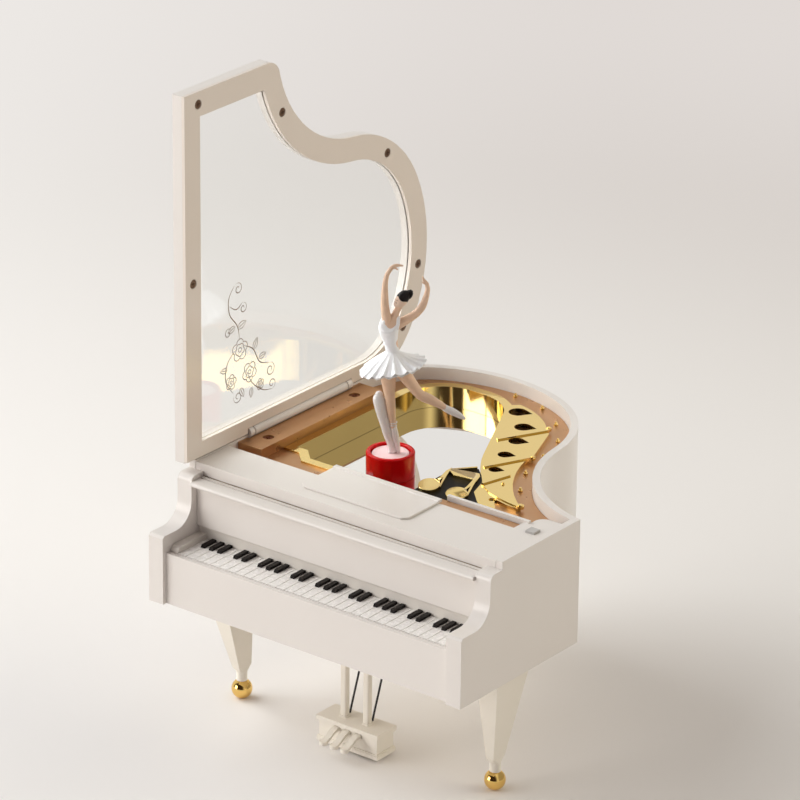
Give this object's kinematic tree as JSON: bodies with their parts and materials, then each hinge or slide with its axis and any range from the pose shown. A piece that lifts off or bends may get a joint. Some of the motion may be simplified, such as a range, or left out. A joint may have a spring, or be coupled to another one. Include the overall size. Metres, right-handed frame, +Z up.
{
  "type": "music box",
  "caption": "Wind-up music and jewellery box shaped like a white grand piano, with a clear-panelled lid, gold harp, mirror tray and a dancer turning on a red drum.",
  "frame": {"origin": "centre of the bounding box, at the surface that the ball feet stand on", "axes": "+Z up, -Y towards the keyboard, +Y towards the tail, -X towards the hinge side of the lid"},
  "size_m": [0.1524, 0.1686, 0.2531],
  "materials": {
    "white_gloss": "glossy cream white",
    "ivory_keys": "glossy off-white",
    "copper_satin": "satin copper",
    "gold_plate": "polished gold",
    "mirror": "mirror",
    "clear": "clear",
    "black_gloss": "glossy black",
    "red_gloss": "glossy red",
    "disc_pink": "glossy",
    "grey_matte": "matte grey",
    "skin": "painted",
    "dress_white": "painted white",
    "tutu_white": "moulded, pearly white",
    "movement_brass": "brushed",
    "movement_steel": "brushed",
    "spring_steel": "blued"
  },
  "bodies": {
    "base": {"case": "white_gloss", "bottom_plate": "white_gloss", "bottom_screws": "movement_steel", "key_bed": "white_gloss", "white_keys": "ivory_keys", "black_keys": "black_gloss", "front_board": "white_gloss", "music_desk": "white_gloss", "soundboard": "copper_satin", "well_liner": "gold_plate", "mirror": "mirror", "harp_plate": "gold_plate", "hitch_pins": "gold_plate", "note_panel": "black_gloss", "note_ornament": "gold_plate", "hinge_cover": "copper_satin", "hinge_screws": "copper_satin", "hinge_pin": "movement_steel", "plunger_spring": "movement_steel", "leg_left": "white_gloss", "leg_right": "white_gloss", "leg_rear": "white_gloss", "foot_left": "gold_plate", "foot_right": "gold_plate", "foot_rear": "gold_plate", "leg_screws": "movement_steel", "lyre_frame": "white_gloss", "lyre_rods": "black_gloss", "pedals": "white_gloss", "drum_cup": "red_gloss", "bedplate": "movement_brass", "movement_screws": "movement_steel", "spring_housing": "movement_steel", "mainspring": "spring_steel", "cylinder_bridge": "movement_brass", "comb": "movement_steel", "comb_screws": "movement_steel", "governor_bracket": "movement_brass"},
    "lid": {"lid_frame": "white_gloss", "lid_bezel": "white_gloss", "lid_panel": "clear", "lid_screws": "movement_steel"},
    "key_lid": {"fallboard": "white_gloss"},
    "stop": {"stop_plunger": "grey_matte", "stop_wire": "movement_steel"},
    "turntable": {"turntable": "disc_pink", "spindle": "movement_steel", "drive_gear": "movement_brass"},
    "figure": {"dancer_body": "skin", "dancer_dress": "dress_white", "dancer_tutu": "tutu_white", "dancer_hair": "black_gloss", "dancer_stand": "dress_white"},
    "winder": {"winding_arbor": "movement_steel", "winding_key": "movement_brass"},
    "cylinder": {"note_cylinder": "movement_brass"},
    "idler": {"idler_wheel": "movement_brass"},
    "governor": {"governor_fan": "movement_steel"}
  },
  "joints": [
    {"name": "lid_hinge", "type": "hinge", "parent": "base", "child": "lid", "pos_m": [-0.0711, 0.00365, 0.1048], "axis": [0, 1, 0], "range_deg": [0, 20]},
    {"name": "key_lid_hinge", "type": "hinge", "parent": "base", "child": "key_lid", "pos_m": [0.0012, -0.06315, 0.0804], "axis": [1, 0, 0], "range_deg": [0, 88]},
    {"name": "stop_press", "type": "slide", "parent": "base", "child": "stop", "axis": [0, 0, -1], "range_m": [0, 0.0022], "stiffness_N_per_m": 60, "springref_m": -0.0005, "deforming": ["plunger_spring"]},
    {"name": "cylinder_spin", "type": "hinge", "parent": "base", "child": "cylinder", "pos_m": [0.0012, 0.00075, 0.0772], "axis": [1, 0, 0], "continuous": true},
    {"name": "turntable_spin", "type": "hinge", "parent": "base", "child": "turntable", "pos_m": [-0.0231, 0.00075, 0.09], "axis": [0, 0, 1], "continuous": true},
    {"name": "figure_lift", "type": "slide", "parent": "turntable", "child": "figure", "axis": [0, 0, 1], "range_m": [0, 0.008]},
    {"name": "winder_spin", "type": "hinge", "parent": "base", "child": "winder", "pos_m": [-0.0231, 0.00075, 0.05], "axis": [0, 0, 1], "continuous": true},
    {"name": "idler_spin", "type": "hinge", "parent": "base", "child": "idler", "pos_m": [0.0012, 0.00983, 0.0772], "axis": [1, 0, 0], "continuous": true},
    {"name": "governor_spin", "type": "hinge", "parent": "base", "child": "governor", "pos_m": [0.0161, 0.01633, 0.08], "axis": [0, 0, 1], "continuous": true}
  ],
  "couplings": [
    {"joint": "turntable_spin", "follows": "cylinder_spin", "ratio": 0.5},
    {"joint": "winder_spin", "follows": "cylinder_spin", "ratio": 0.5},
    {"joint": "idler_spin", "follows": "cylinder_spin", "ratio": -2},
    {"joint": "governor_spin", "follows": "cylinder_spin", "ratio": 32}
  ]
}
